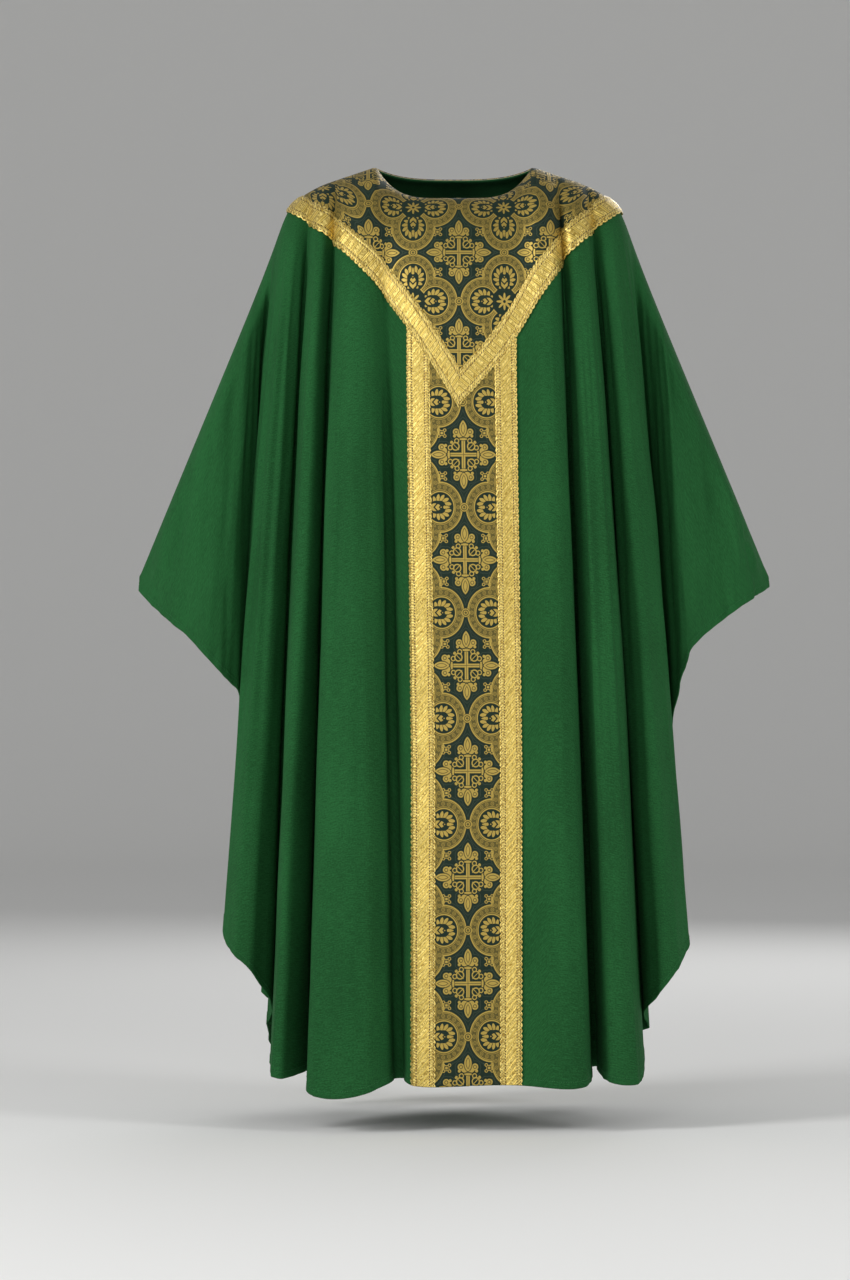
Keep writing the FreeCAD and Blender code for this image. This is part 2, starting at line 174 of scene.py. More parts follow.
def wander(u, v, seed):
    """Smooth random waves between -1 and 1 over a plane."""
    table = np.random.RandomState(seed).uniform(-1.0, 1.0, (64, 64))
    u, v = np.asarray(u, float) + 1000.0, np.asarray(v, float) + 1000.0
    i, j = np.floor(u).astype(int), np.floor(v).astype(int)
    a, b = smoothstep(0.0, 1.0, u - i), smoothstep(0.0, 1.0, v - j)
    low = mix(table[i % 64, j % 64], table[(i + 1) % 64, j % 64], a)
    high = mix(table[i % 64, (j + 1) % 64], table[(i + 1) % 64, (j + 1) % 64], a)
    return mix(low, high, b)


# %% The shoulder line and the neck edge
def shoulder_share(share):
    return mix(NECK_HALF, SHOULDER_HALF, share)


ARM_FALL = (WRIST_DROP - SHOULDER_DROP - SHOULDER_TURN) / (SLEEVE_REACH - SHOULDER_HALF - 0.014)
RIDGE_X = [NECK_HALF, shoulder_share(0.36), shoulder_share(0.72), shoulder_share(0.88),
           SHOULDER_HALF, mix(SHOULDER_HALF, SLEEVE_REACH, 0.08),
           mix(SHOULDER_HALF, SLEEVE_REACH, 0.4), SLEEVE_REACH]
RIDGE_Z = [-NECK_SIDE_DROP, -0.27 * SHOULDER_DROP, -0.55 * SHOULDER_DROP,
           -0.75 * SHOULDER_DROP, -SHOULDER_DROP, -SHOULDER_DROP - SHOULDER_TURN,
           -WRIST_DROP + ARM_FALL * 0.6 * (SLEEVE_REACH - SHOULDER_HALF), -WRIST_DROP]


def ridge_height(x):
    return spline_through(RIDGE_X, RIDGE_Z, np.abs(x))[..., 0]


def top_points(x, face):
    """Depth and height where the hanging lines start."""
    share = np.minimum(np.abs(x) / NECK_HALF, 1.0)
    inside = np.abs(x) < NECK_HALF
    depth = NECK_REACH[face] * (1.0 - share ** 2)
    edge = -NECK_SIDE_DROP - NECK_DIP[face] * (1.0 - share ** 4)
    return depth, np.where(inside, edge, ridge_height(np.maximum(np.abs(x), NECK_HALF)))


# %% [markdown]
# ## The hung sheet
# The front and the back are each one surface of two measures: which hanging line, and how
# far down it. Every ply asks this surface for its points, at its own height above the cloth,
# so the plies lie on each other without touching. Soft ripples are part of the surface: they
# stay small where interlining stiffens the cloth, and grow towards the hem.

# %% The hung surface
class HungFace:
    def __init__(self, face):
        rows = np.array(LINES[face], float) / 1000.0
        self.face = face
        self.sign = -1.0 if face == "front" else 1.0
        x = rows[:, 0]
        depth, height = top_points(x, face)
        rounding = mix(TORSO_ROUND, ARM_ROUND, smoothstep(0.200, 0.285, np.abs(x)))
        self.keys = np.column_stack([x, depth, height, rows[:, 1], rows[:, 2], rows[:, 3],
                                     rows[:, 4], rounding])
        chord = np.hypot(np.diff(rows[:, 2]), np.diff(rows[:, 4]))
        chord = 1000.0 * (chord + 0.5 * np.abs(np.diff(rows[:, 3])))
        self.knots = np.concatenate([[0.0], np.cumsum(np.sqrt(chord + 8.0))])
        self.end = self.knots[-1]
        self.centre = self.knots[CENTRE_LINE[face]]
        self.beds = [(np.interp(x_top / 1000.0, x, self.knots), depth / 1000.0)
                     for x_top, depth in BEDS[face]]
        self.table = spline_through(self.knots, self.keys, np.linspace(0.0, self.end, 8001))
        depth, height = top_points(self.table[:, 0], face)
        self.table[:, 1], self.table[:, 2] = depth, height

    def lines(self, s):
        place = np.clip(np.asarray(s) / self.end, 0.0, 1.0) * (len(self.table) - 1)
        row = np.minimum(place.astype(int), len(self.table) - 2)
        share = (place - row)[..., None]
        return self.table[row] * (1.0 - share) + self.table[row + 1] * share

    def base(self, s, t):
        x, y, z, chest, x_hem, z_hem, depth, rounding = np.moveaxis(self.lines(s), -1, 0)
        drop = (z - z_hem) * t
        over = np.sin(0.5 * np.pi * np.minimum(1.0, np.sqrt(np.maximum(drop, 0.0) / rounding)))
        out = y + (chest - y) * over + (depth - chest) * t ** RELIEF_POWER
        return np.stack([x + (x_hem - x) * t ** FLARE_POWER, self.sign * out, z - drop], -1)

    def normals(self, s, t):
        ds, dt = 0.0004 * self.end, 0.002
        t = np.clip(t, 0.003, 1.0 - dt)
        s = np.clip(s, ds, self.end - ds)
        across = self.base(s + ds, t) - self.base(s - ds, t)
        down = self.base(s, t + dt) - self.base(s, t - dt)
        out = np.cross(across, down) * self.sign
        return out / np.linalg.norm(out, axis=-1, keepdims=True)

    def ripple(self, s, t):
        """Height of the small folds, in metres."""
        x = self.lines(s)[..., 0]
        seed = 11 if self.face == "front" else 29
        free = smoothstep(0.085, 0.125, np.abs(x - COLUMN_X))
        below = smoothstep(0.0, 0.22, t - 0.24 * np.clip(1.0 - np.abs(x) / 0.24, 0.0, 1.0))
        edge = smoothstep(self.end, self.end - 8.0, s) * smoothstep(0.0, 8.0, s)
        wide = 0.0034 * wander(s * 0.42, t * 2.2, seed)
        fine = 0.0013 * wander(s * 1.15 + 3.0 * t, t * 5.0, seed + 1)
        slow = 0.0008 * wander(s * 0.5, t * 9.0, seed + 2)
        calm = mix(0.12, 1.0, free)
        creases = sum(depth * np.exp(-((s - at) / 2.7) ** 2) for at, depth in self.beds)
        return (wide + fine + slow) * below * calm * edge - creases * below * free * edge

    def place(self, s, t, height):
        lift = (height + self.ripple(s, t))[..., None]
        return self.base(s, t) + self.normals(s, t) * lift

    def find(self, x, z):
        """(s, t) of the points seen at x, z, where the face is not folded over."""
        x, z = np.broadcast_arrays(np.asarray(x, float), np.asarray(z, float))
        low = np.full(x.shape, self.line_at(-0.260))
        high = np.full(x.shape, self.line_at(0.260))
        for _ in range(30):
            s = 0.5 * (low + high)
            t = self.drop_at(s, z)
            left = self.base(s, t)[..., 0] < x
            low, high = np.where(left, s, low), np.where(left, high, s)
        return s, t

    def drop_at(self, s, z):
        line = self.lines(s)
        return np.clip((line[..., 2] - z) / (line[..., 2] - line[..., 5]), 0.0, 1.0)

    def line_at(self, x_top):
        """The hanging line that starts at x_top on the shoulder line."""
        at = np.linspace(0.0, self.end, 2000)
        return float(np.interp(x_top, self.lines(at)[:, 0], at))


FACES = {name: HungFace(name) for name in ("front", "back")}
for name, face in FACES.items():
    print(name, "hangs on", len(face.keys), "lines")


# %% [markdown]
# ## Cloth as a closed sheet
# Even thin cloth has two sides and an edge, and an edge that is turned shows as a soft roll.
# Each sheet is built from two grids of points, the under side and the upper side, joined
# around the border by a rounded rim. Its UV map holds the flat cloth in metres, so weave and
# pattern keep their real size.

# %% Mesh helpers
def new_piece(name, verts, faces, uvs, node, material):
    """A mesh object of quads that stands for a CAD node."""
    name = name + "_fabric"
    mesh = bpy.data.meshes.new(name)
    mesh.vertices.add(len(verts))
    mesh.vertices.foreach_set("co", verts.ravel())
    mesh.loops.add(faces.size)
    mesh.loops.foreach_set("vertex_index", faces.ravel())
    mesh.polygons.add(len(faces))
    mesh.polygons.foreach_set("loop_start", np.arange(0, faces.size, 4))
    mesh.update(calc_edges=True)
    mesh.validate()
    mesh.uv_layers.new(name="flat").data.foreach_set("uv", uvs[faces.ravel()].ravel())
    mesh.polygons.foreach_set("use_smooth", [True] * len(mesh.polygons))
    mesh.materials.append(material)
    piece = bpy.data.objects.new(name, mesh)
    bpy.context.scene.collection.objects.link(piece)
    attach(piece, "root")
    if node:
        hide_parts(node)
    return piece


def closed_sheet(name, lower, upper, flat, node, material, rim=0.5):
    """A sheet between two grids; rim is how far its edge bulges, in wall thicknesses."""
    rows, cols = upper.shape[:2]
    index = np.arange(rows * cols).reshape(rows, cols)
    border = np.concatenate([index[0, :], index[1:, -1], index[-1, -2::-1], index[-2:0:-1, 0]])
    low, up = lower.reshape(-1, 3), upper.reshape(-1, 3)
    inner = np.concatenate([index[1, :], index[1:, -2], index[-2, -2::-1], index[-2:0:-1, 1]])
    inner = inner[:len(border)]
    wall = np.linalg.norm(up[border] - low[border], axis=1, keepdims=True)
    middle = 0.5 * (up[border] + low[border])
    away = middle - 0.5 * (up[inner] + low[inner])
    away /= np.maximum(np.linalg.norm(away, axis=1, keepdims=True), 1e-9)
    verts = np.concatenate([up, low, middle + away * wall * rim])
    quads = np.stack([index[:-1, :-1], index[1:, :-1], index[1:, 1:], index[:-1, 1:]], -1)
    quads = quads.reshape(-1, 4)
    count = rows * cols
    ring = np.arange(len(border)) + 2 * count
    after = np.roll(np.arange(len(border)), -1)
    top_rim = np.stack([border, border[after], ring[after], ring], -1)
    low_rim = np.stack([ring, ring[after], border[after] + count, border + count], -1)
    faces = np.concatenate([quads, quads[:, ::-1] + count, top_rim, low_rim])
    uvs = np.concatenate([flat.reshape(-1, 2)] * 2 + [flat.reshape(-1, 2)[border]])
    side = np.cross(up[index[1, 0]] - up[0], up[1] - up[0])
    if np.dot(side, up[0] - low[0]) < 0.0:
        faces = faces[:, ::-1]
    faces = np.ascontiguousarray(faces)
    return new_piece(name, verts, faces, uvs, node, material)


def sheet_area(grid):
    a = np.cross(grid[1:, :-1] - grid[:-1, :-1], grid[:-1, 1:] - grid[:-1, :-1])
    return float(np.linalg.norm(a, axis=-1).sum())


# %% [markdown]
# ## Materials, and a way to write them
# A woven pattern is arithmetic on the flat cloth: how far is this spot from the edge of a
# petal, a ring, a bar? Blender does such sums with Math nodes. The small class below lets a
# sum be written as plain text, and places one node for each step, so a pattern reads like
# a drawing in words. A mask is soft over a thread's width, so edges don't flicker.

# %% Sums as nodes
class Field:
    """A value that changes over the surface, made of Math nodes."""
    tree = None

    def __init__(self, socket):
        self.socket = socket

    def step(self, kind, *others, clamp=False):
        node = Field.tree.nodes.new("ShaderNodeMath")
        node.operation = kind
        node.use_clamp = clamp
        for slot, item in zip(node.inputs, (self,) + others):
            if isinstance(item, Field):
                Field.tree.links.new(item.socket, slot)
            else:
                slot.default_value = item
        return Field(node.outputs[0])

    def __add__(self, other):
        return self.step("ADD", other)

    def __sub__(self, other):
        return self.step("SUBTRACT", other)

    def __mul__(self, other):
        return self.step("MULTIPLY", other)

    def __abs__(self):
        return self.step("ABSOLUTE")

    def __rsub__(self, other):
        return self.step("MULTIPLY_ADD", -1.0, other)


def least(first, *others):
    for other in others:
        first = first.step("MINIMUM", other)
    return first


def most(first, *others):
    for other in others:
        first = first.step("MAXIMUM", other)
    return first


def length(a, b):
    return (a * a).step("ADD", b * b).step("SQRT")


def inside(distance, soft=0.03):
    """1 where distance is below zero, 0 above, soft between."""
    return distance.step("MULTIPLY_ADD", -1.0 / soft, 0.5, clamp=True)


def line(distance, width):
    """A line of this width along distance zero."""
    return inside(abs(distance) - 0.5 * width)


# %% Node groups
def new_group(name, inputs, outputs):
    """An empty shader group, with its input and output nodes."""
    group = bpy.data.node_groups.new(name, "ShaderNodeTree")
    for socket, kind, value in inputs:
        item = group.interface.new_socket(socket, in_out="INPUT", socket_type=kind)
        if value is not None:
            item.default_value = value
    for socket in outputs:
        group.interface.new_socket(socket, in_out="OUTPUT", socket_type="NodeSocketFloat")
    return group, group.nodes.new("NodeGroupInput"), group.nodes.new("NodeGroupOutput")


def parts_of(tree, vector, scale):
    """X and Y of a vector, scaled."""
    Field.tree = tree
    split = tree.nodes.new("ShaderNodeSeparateXYZ")
    tree.links.new(vector, split.inputs[0])
    return Field(split.outputs[0]) * scale, Field(split.outputs[1]) * scale


def noise_of(tree, vector, scale, stretch=(1.0, 1.0), detail=2.0):
    """Noise between 0 and 1 over the flat cloth."""
    Field.tree = tree
    mapping = tree.nodes.new("ShaderNodeMapping")
    mapping.inputs["Scale"].default_value = (scale * stretch[0], scale * stretch[1], 1.0)
    tree.links.new(vector, mapping.inputs["Vector"])
    noise = tree.nodes.new("ShaderNodeTexNoise")
    noise.inputs["Scale"].default_value = 1.0
    noise.inputs["Detail"].default_value = detail
    tree.links.new(mapping.outputs[0], noise.inputs["Vector"])
    return Field(noise.outputs["Fac"])


# %% [markdown]
# ### Weave and slub
# Every cloth here is woven, so weave is one group with the thread count as its input. Slubs
# are the thicker stretches of weft that make faint level streaks in a wool cloth.

# %% Weave group
def make_weave():
    group, start, end = new_group(
        "weave", [("Flat", "NodeSocketVector", None), ("Threads per metre",
                                                       "NodeSocketFloat", 2000.0)],
        ["Height", "Shade"])
    x, y = parts_of(group, start.outputs["Flat"], math.pi)
    count = Field(start.outputs["Threads per metre"])
    warp = (x * count).step("SINE")
    weft = (y * count).step("SINE")
    over = (x * count * 0.5 + y * count * 0.5).step("SINE")
    height = most(abs(warp) * (over * 0.5 + 0.5), abs(weft) * (0.5 - over * 0.5))
    slub = noise_of(group, start.outputs["Flat"], 60.0, (1.0, 16.0), 3.0)
    pill = noise_of(group, start.outputs["Flat"], 330.0, (1.0, 1.4), 3.0)
    group.links.new((height + pill * 1.6).socket, end.inputs["Height"])
    group.links.new((slub * 0.5 + pill * 0.5).socket, end.inputs["Shade"])
    return group


weave = make_weave()

# %% [markdown]
# ### The brocade pattern
# The cloth is a church brocade of an old, common kind: crosses with flowered ends stand
# between ringed quatrefoils filled with leaves. It repeats every 129 mm across and 149 mm
# down. Mirroring each repeat into one quarter, and each motif into one eighth, keeps the
# drawing short: one arm of the cross and one lobe of the quatrefoil are enough.

# %% Brocade group, in centimetres
HALF_REPEAT_X = 6.45
HALF_REPEAT_Y = 7.465


def quatrefoil(x, y):
    """Ring band, its outlines and the leaves of the four lobes."""
    squeeze = HALF_REPEAT_X / HALF_REPEAT_Y
    qx = HALF_REPEAT_X - x
    qy = (HALF_REPEAT_Y - y) * squeeze
    along, side = most(qx, qy), least(qx, qy)
    reach = length(along - 3.1, side)
    turn = side.step("ARCTAN2", along - 3.1)
    outer = reach - 3.15
    inner = least(reach - 1.85, (along + side - 2.5) * 0.7)
    band = inside(outer) * inside(0.0 - inner)
    outline = most(line(outer + 0.1, 0.17), line(inner - 0.08, 0.15),
                   line(reach - 2.86, 0.06), line(reach - 2.14, 0.06))
    outline = outline * band
    step = (turn * 3.1).step("WRAP", 0.5, -0.5) * 0.8
    bead = length(step, reach - 2.5)
    small = most(line(bead - 0.2, 0.09), inside(bead - 0.07))
    teeth = abs((turn * 6.5 + reach * 1.9).step("SINE"))
    vesica = length(along - 2.60, side + 0.45) - 1.26
    leaf = inside(reach - 1.10 - teeth * 0.50) * inside(0.80 - reach) * inside(0.0 - vesica)
    veins = line((turn * 6.5 + reach * 3.4).step("COSINE"), 0.62) * inside(reach - 1.20)
    fronds = inside(0.50 - abs(((along - side) * 4.2).step("SINE")))
    palmette = inside(length(along - 2.35, side + 0.75) - 1.22) * fronds
    berry = inside(length(along - 3.72, side) - 0.20)
    centre = length(qx, qy)
    star = side.step("ARCTAN2", along)
    petals = inside(centre - 0.78 - (star * 8.0).step("COSINE") * 0.36)
    eye = inside(centre - 0.20)
    filling = most(leaf * (1.0 - veins * 0.85), palmette, petals * (1.0 - eye), berry)
    filling = filling * inside(inner + 0.12)
    return band, outline, small * band, filling, outer


def cross(x, y):
    """Cross with flowered ends and open scrolls between its arms."""
    tall = y * 0.94
    along, side = most(x, tall), least(x, tall)
    bar = most(side - 0.25, along - 2.3)
    petal = length(along - 3.50, side + 0.90) - 1.42
    curl = length(along - 3.02, side - 0.98) - 0.46
    hook = length(along - 2.48, side - 1.22) - 0.20
    cheek = length(along - 2.72, side - 0.50) - 0.44
    collar = most(abs(along - 2.06) - 0.11, side - 0.50)
    flower = least(curl, hook, cheek, collar)
    shape = least(bar, petal, flower)
    gaps = most(line(petal - 0.07, 0.15) * inside(2.5 - along), line(curl + 0.24, 0.12),
                line(petal + 0.26, 0.10), line(collar - 0.08, 0.10) * inside(side - 0.5),
                line(side, 0.09) * inside(along - 1.9))
    gold = inside(shape) * (1.0 - gaps * 0.75)
    scroll = most(line(length(along - 1.10, side - 1.10) - 0.50, 0.17),
                  line(length(along - 1.84, side - 0.92) - 0.28, 0.14),
                  inside(length(along - 1.68, side - 1.62) - 0.17),
                  line(along - side, 0.14) * inside(abs(along + side - 2.0) - 0.75))
    return most(gold, scroll * inside(along - 2.2)), shape


def small_flowers(x, y):
    """Corner flowers of the ground, and rosettes where the rings touch."""
    fx, fy = abs(x - 3.0), abs(y - 3.05)
    petals = length(fx - 0.42, fy - 0.42) - 0.24
    square = most(fx, fy) - 0.40
    flower = inside(least(petals, square)) * (1.0 - line(least(petals, square) + 0.17, 0.12))
    joint = least(length(x, HALF_REPEAT_Y - y), length(HALF_REPEAT_X - x, y))
    rosette = most(line(joint - 0.52, 0.14), line(joint - 0.24, 0.12))
    return flower, rosette, joint


def make_brocade_pattern():
    group, start, end = new_group("brocade_pattern", [("Flat", "NodeSocketVector", None)],
                                  ["Gold", "Dull gold", "Echo", "Height"])
    x, y = parts_of(group, start.outputs["Flat"], 100.0)
    x = x.step("PINGPONG", HALF_REPEAT_X)
    y = y.step("PINGPONG", HALF_REPEAT_Y)
    band, outline, beads, filling, outer = quatrefoil(x, y)
    figure, shape = cross(x, y)
    flower, rosette, joint = small_flowers(x, y)
    on_joint = inside(joint - 0.66)
    gold = most(outline * (1.0 - on_joint), beads * 0.55, filling, figure, flower, rosette)
    dull = most(band, on_joint)
    open_ground = inside(0.0 - outer)
    echo = most(line(outer - 0.32, 0.07), line(shape - 0.34, 0.07)) * open_ground
    height = gold + dull * 0.35
    for name, value in (("Gold", gold), ("Dull gold", dull), ("Echo", echo),
                        ("Height", height)):
        group.links.new(value.socket, end.inputs[name])
    print("brocade pattern:", len(group.nodes), "nodes")
    return group


brocade_pattern = make_brocade_pattern()


# %% [markdown]
# ### Materials from the groups
# The shader stays in each material, with its plain numbers on its own sockets. Only colours,
# roughness and height that change over the cloth come in through the groups.

# %% Material helpers
def new_material(name, roughness, metallic=0.0, sheen=0.0, specular=0.5):
    material = bpy.data.materials.new(name)
    material.use_nodes = True
    tree = material.node_tree
    Field.tree = tree
    shader = tree.nodes["Principled BSDF"]
    shader.inputs["Roughness"].default_value = roughness
    shader.inputs["Metallic"].default_value = metallic
    shader.inputs["Sheen Weight"].default_value = sheen
    shader.inputs["Specular IOR Level"].default_value = specular
    flat = tree.nodes.new("ShaderNodeUVMap")
    flat.uv_map = "flat"
    return material, tree, shader, flat.outputs[0]


def use_group(tree, group, flat, **values):
    node = tree.nodes.new("ShaderNodeGroup")
    node.node_tree = group
    tree.links.new(flat, node.inputs["Flat"])
    for name, value in values.items():
        node.inputs[name.replace("_", " ")].default_value = value
    return {socket.name: Field(socket) for socket in node.outputs}


def blend_colours(tree, first, second, share):
    """Two colours, or sockets with colours, mixed by a mask."""
    node = tree.nodes.new("ShaderNodeMix")
    node.data_type = "RGBA"
    tree.links.new(share.socket, node.inputs[0])
    for slot, item in ((node.inputs[6], first), (node.inputs[7], second)):
        if isinstance(item, tuple):
            slot.default_value = (*item, 1.0)
        else:
            tree.links.new(item, slot)
    return node.outputs[2]


def bump(tree, shader, height, distance, strength=1.0):
    node = tree.nodes.new("ShaderNodeBump")
    node.inputs["Distance"].default_value = distance
    node.inputs["Strength"].default_value = strength
    tree.links.new(height.socket, node.inputs["Height"])
    tree.links.new(node.outputs[0], shader.inputs["Normal"])


# %% Wool, cotton and lining
def woven(name, dark, light, threads, roughness, sheen, relief):
    """A plain woven cloth in one colour, with slubs and a soft nap."""
    material, tree, shader, flat = new_material(name, roughness, sheen=sheen, specular=0.18)
    cloth = use_group(tree, weave, flat, Threads_per_metre=threads)
    cloudy = noise_of(tree, flat, 9.0, (1.0, 0.5), 3.0)
    share = (cloth["Shade"] * 0.8 + cloudy * 0.2).step("MULTIPLY_ADD", 6.0, -2.5, clamp=True)
    tree.links.new(blend_colours(tree, dark, light, share), shader.inputs["Base Color"])
    shader.inputs["Sheen Roughness"].default_value = 0.5
    shader.inputs["Sheen Tint"].default_value = (*light, 1.0)
    bump(tree, shader, cloth["Height"], relief, 0.6)
    return material


green_cloth = woven("green_wool", (0.0075, 0.062, 0.0150), (0.0165, 0.116, 0.0305),
                    1700.0, 0.9, 0.10, 0.00015)
cotton = woven("unbleached_cotton", (0.50, 0.45, 0.33), (0.62, 0.57, 0.45),
               1400.0, 0.9, 0.1, 0.0001)
lining = woven("green_lining", (0.009, 0.060, 0.018), (0.014, 0.085, 0.026),
               2400.0, 0.8, 0.1, 0.00006)


def make_thread():
    """Twisted sewing thread."""
    material, tree, shader, flat = new_material("green_sewing_thread", 0.55, specular=0.3)
    x, y = parts_of(tree, flat, 1000.0)
    twist = (x * 9.0 + y * 6.0).step("SINE") * 0.5 + 0.5
    # The colour is darker in the grooves of the twist and lighter on its crowns, following the
    # bump: painted shade.
    colour = blend_colours(tree, (0.012, 0.085, 0.024), (0.026, 0.160, 0.050), twist)
    tree.links.new(colour, shader.inputs["Base Color"])
    bump(tree, shader, twist, 0.00008, 0.8)
    return material


sewing_thread = make_thread()


# %% Brocade
def make_brocade():
    material, tree, shader, flat = new_material("gold_brocade", 0.45, specular=0.16)
    pattern = use_group(tree, brocade_pattern, flat)
    cloth = use_group(tree, weave, flat, Threads_per_metre=2600.0)
    thread = cloth["Height"].step("MULTIPLY_ADD", 0.5, 0.5)
    uneven = cloth["Shade"]
    ground = blend_colours(tree, (0.0040, 0.0110, 0.0070), (0.0170, 0.0380, 0.0240), uneven)
    ground = blend_colours(tree, ground, (0.040, 0.055, 0.036), pattern["Echo"])
    dull = blend_colours(tree, (0.060, 0.050, 0.012), (0.170, 0.135, 0.036), uneven)
    ground = blend_colours(tree, ground, dull, pattern["Dull gold"])
    # The gold goes from dark to light by the weave's height: part of this is random tone from its
    # pill noise, and part is painted shade between the threads, with lighter crowns.
    gold = blend_colours(tree, (0.24, 0.165, 0.032), (0.50, 0.360, 0.085), thread)
    colour = blend_colours(tree, ground, gold, pattern["Gold"])
    tree.links.new(colour, shader.inputs["Base Color"])
    metal = (pattern["Gold"] * 0.70 + pattern["Dull gold"] * 0.12).step("MINIMUM", 0.75)
    tree.links.new(metal.socket, shader.inputs["Metallic"])
    rough = pattern["Gold"].step("MULTIPLY_ADD", -0.10, 0.52) + uneven * 0.12
    tree.links.new(rough.socket, shader.inputs["Roughness"])
    bump(tree, shader, pattern["Height"] + thread * 0.25, 0.00025, 0.8)
    return material


brocade = make_brocade()


# %% Galloon material
def make_galloon_material():
    """Metal thread: painted glints on its facets, dark stitch lines, and slanting satin stripes;
    the shade between the cord's beads and on the satin's ribs is painted.
    """
    material, tree, shader, flat = new_material("gold_galloon", 0.36, specular=0.5)
    x, y = parts_of(tree, flat, 1000.0)
    slant = (y + x * 1.2).step("WRAP", 5.2, -5.2)
    middle = inside(abs(x) - 7.6, 0.5)
    satin = inside(abs(slant) - 2.3, 0.6) * middle
    ribs = (y * 2.9 + x * 3.5).step("SINE") * 0.5 + 0.5
    beads = abs((y * (math.pi / 3.9)).step("SINE"))
    cord = inside(abs(abs(x) - 11.2) - 1.7, 0.5)
    # gaps: the hollows between the cord's beads, where shade falls; below they are painted dark.
    gaps = cord * inside(beads - 0.42, 0.3)
    stitched = most(line(abs(x) - 8.6, 1.6), line(abs(x) - 13.5, 1.0))
    dots = stitched * (y * 1.61).step("SINE").step("MULTIPLY_ADD", 0.7, 0.6, clamp=True)
    # dark: the stitch dots are the thread's own dark colour; the darkening between the cord's
    # beads and along the edges of the satin stripes is painted shade.
    dark = most(dots, gaps * 0.55, line(abs(slant) - 2.5, 0.7) * middle * 0.55)
    mapping = tree.nodes.new("ShaderNodeMapping")
    mapping.inputs["Scale"].default_value = (700.0, 480.0, 1.0)
    mapping.inputs["Rotation"].default_value = (0.0, 0.0, 0.7)
    cells = tree.nodes.new("ShaderNodeTexVoronoi")
    cells.inputs["Scale"].default_value = 1.0
    tree.links.new(flat, mapping.inputs["Vector"])
    tree.links.new(mapping.outputs[0], cells.inputs["Vector"])
    facet = Field(cells.outputs["Distance"])
    tone = tree.nodes.new("ShaderNodeSeparateColor")
    tree.links.new(cells.outputs["Color"], tone.inputs[0])
    glint = Field(tone.outputs[0])
    rough_share = glint * (1.0 - satin * 0.8)
    # light: gold from dark to bright by the random glint of each facet, a painted glint.
    light = blend_colours(tree, (0.40, 0.25, 0.030), (0.99, 0.79, 0.24), glint)
    # The satin gold is dark in the troughs of its ribs and bright on their crowns, following the
    # ribs of the bump: painted shade and highlight.
    satin_painted_rib_shade = blend_colours(tree, (0.46, 0.30, 0.036), (0.93, 0.71, 0.18), ribs)
    bright = blend_colours(tree, light, satin_painted_rib_shade, satin * 0.85)
    colour = blend_colours(tree, bright, (0.085, 0.045, 0.006), dark)
    tree.links.new(colour, shader.inputs["Base Color"])
    metal = (1.0 - dark) * 0.55
    tree.links.new(metal.socket, shader.inputs["Metallic"])
    rough = rough_share * 0.20 + 0.32
    tree.links.new(rough.socket, shader.inputs["Roughness"])
    bump(tree, shader, facet * -0.4 + ribs * satin * 0.8 + rough_share * 0.6, 0.0005, 0.8)
    return material


galloon = make_galloon_material()


# %% [markdown]
# ## Body panels
# The body is cut as four panels of fine wool, seamed under the columns and along the
# shoulders. The grid has most columns where the folds turn tightly, because the hanging
# lines stand closer there.

# %% Body panels
COLUMNS_PER_LINE = 10
HEM_WIDTH = 0.0125
HEM_STITCH = 0.0090
HEM_WALL = 0.0007
DROPS = np.concatenate([0.955 * np.linspace(0.0, 1.0, 200) ** 1.5, np.linspace(0.957, 1.0, 24)])


def hem_height(face, s, t):
    """Height of the cloth's outer side: it is thicker where the hem is turned up."""
    line = face.lines(s)
    from_edge = (1.0 - t) * (line[..., 2] - line[..., 5])
    turned = smoothstep(HEM_WIDTH + 0.001, HEM_WIDTH - 0.001, from_edge)
    pulled = np.exp(-((from_edge - HEM_STITCH) / 0.0012) ** 2)
    return PLIES["cloth"][1] + HEM_WALL * turned - 0.0004 * pulled


def flat_grid(points):
    """Flat cloth coordinates: the width across at each row, and the length down."""
    across = np.linalg.norm(np.diff(points, axis=0), axis=-1)
    down = np.linalg.norm(np.diff(points, axis=1), axis=-1)
    u = np.concatenate([np.zeros((1, points.shape[1])), np.cumsum(across, axis=0)])
    v = np.concatenate([np.zeros((points.shape[0], 1)), -np.cumsum(down, axis=1)], axis=1)
    return np.stack([np.repeat(u[:, -1:], points.shape[1], 1), v], -1)


panels = {}
for name, face in FACES.items():
    for side in ("left", "right"):
        begin, end = (0.0, face.centre) if side == "left" else (face.centre, face.end)
        lines = face.knots[(face.knots >= begin) & (face.knots <= end)]
        s = np.concatenate([np.linspace(a, b, COLUMNS_PER_LINE, endpoint=False)
                            for a, b in zip(lines, lines[1:])] + [[lines[-1]]])
        s, t = np.meshgrid(s, DROPS, indexing="ij")
        low, high = (face.place(s, t, h) for h in (np.zeros(s.shape), hem_height(face, s, t)))
        node = "%s_%s_body_panel" % (name, side)
        piece = closed_sheet(node, low, high, flat_grid(high), node, green_cloth)
        area = sheet_area(high)
        print(node, "area", round(area, 3), "m2")
        panels[node] = piece


# %% [markdown]
# ### Hem stitches
# The hem is held by a row of stitches, 9 mm from the edge. Each one is a short thread that
# dips into the cloth at both ends, and they are spaced evenly along the hem's own length.

# %% Hem stitches
STITCH_PITCH = 0.0034
STITCH_RADIUS = 0.00028


